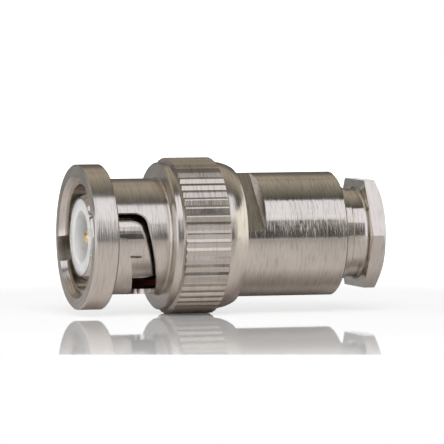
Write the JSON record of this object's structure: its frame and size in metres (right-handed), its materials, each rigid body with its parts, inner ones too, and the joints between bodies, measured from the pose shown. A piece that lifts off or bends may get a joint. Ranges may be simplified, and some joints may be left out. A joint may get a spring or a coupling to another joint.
{
  "type": "bnc connector",
  "caption": "Bayonet coaxial cable plug of the clamp type, with a knurled coupling nut, a slotted spring sleeve and a hexagonal clamp nut.",
  "frame": {"origin": "centre of the clamp nut's rear face, on the plug's axis; the plug stands on this face", "axes": "+Z along the plug's axis towards the mating end, -Y towards the viewer of the picture, +X up in the picture"},
  "size_m": [0.0144, 0.0144, 0.0286],
  "materials": {
    "nickel": "bright nickel plate over turned brass",
    "gold": "gold plate",
    "bronze": "rolled spring bronze",
    "white_resin": "turned white fluoropolymer",
    "red_silicone": "moulded silicone",
    "black_rubber": "moulded rubber"
  },
  "bodies": {
    "plug": {"outer_contact": "nickel", "plug_body": "nickel", "front_insulator": "white_resin", "rear_insulator": "white_resin", "center_contact": "gold", "face_gasket": "red_silicone", "front_wave_washer": "bronze", "rear_wave_washer": "bronze"},
    "thrust": {"thrust_washer": "bronze"},
    "coupling": {"coupling_nut": "nickel"},
    "clamp_stack": {"slip_washer": "nickel", "cable_gasket": "black_rubber", "braid_clamp": "nickel"},
    "clamp": {"clamp_nut": "nickel"}
  },
  "joints": [
    {"name": "coupling_draw", "type": "slide", "parent": "plug", "child": "thrust", "axis": [0, 0, 1], "range_m": [0, 0.0007], "stiffness_N_per_m": 300, "springref_m": -0.001, "deforming": ["front_wave_washer", "rear_wave_washer"]},
    {"name": "coupling_turn", "type": "hinge", "parent": "thrust", "child": "coupling", "pos_m": [0, 0, 0.021], "axis": [0, 0, 1], "continuous": true},
    {"name": "clamp_slide", "type": "slide", "parent": "plug", "child": "clamp_stack", "axis": [0, 0, 1], "range_m": [-0.00075, 0.00185]},
    {"name": "clamp_turn", "type": "hinge", "parent": "clamp_stack", "child": "clamp", "pos_m": [0, 0, 0.003], "axis": [0, 0, 1], "range_deg": [-360, 888]}
  ],
  "couplings": [
    {"joint": "clamp_turn", "follows": "clamp_slide", "rad_per_m": 8377.6}
  ]
}
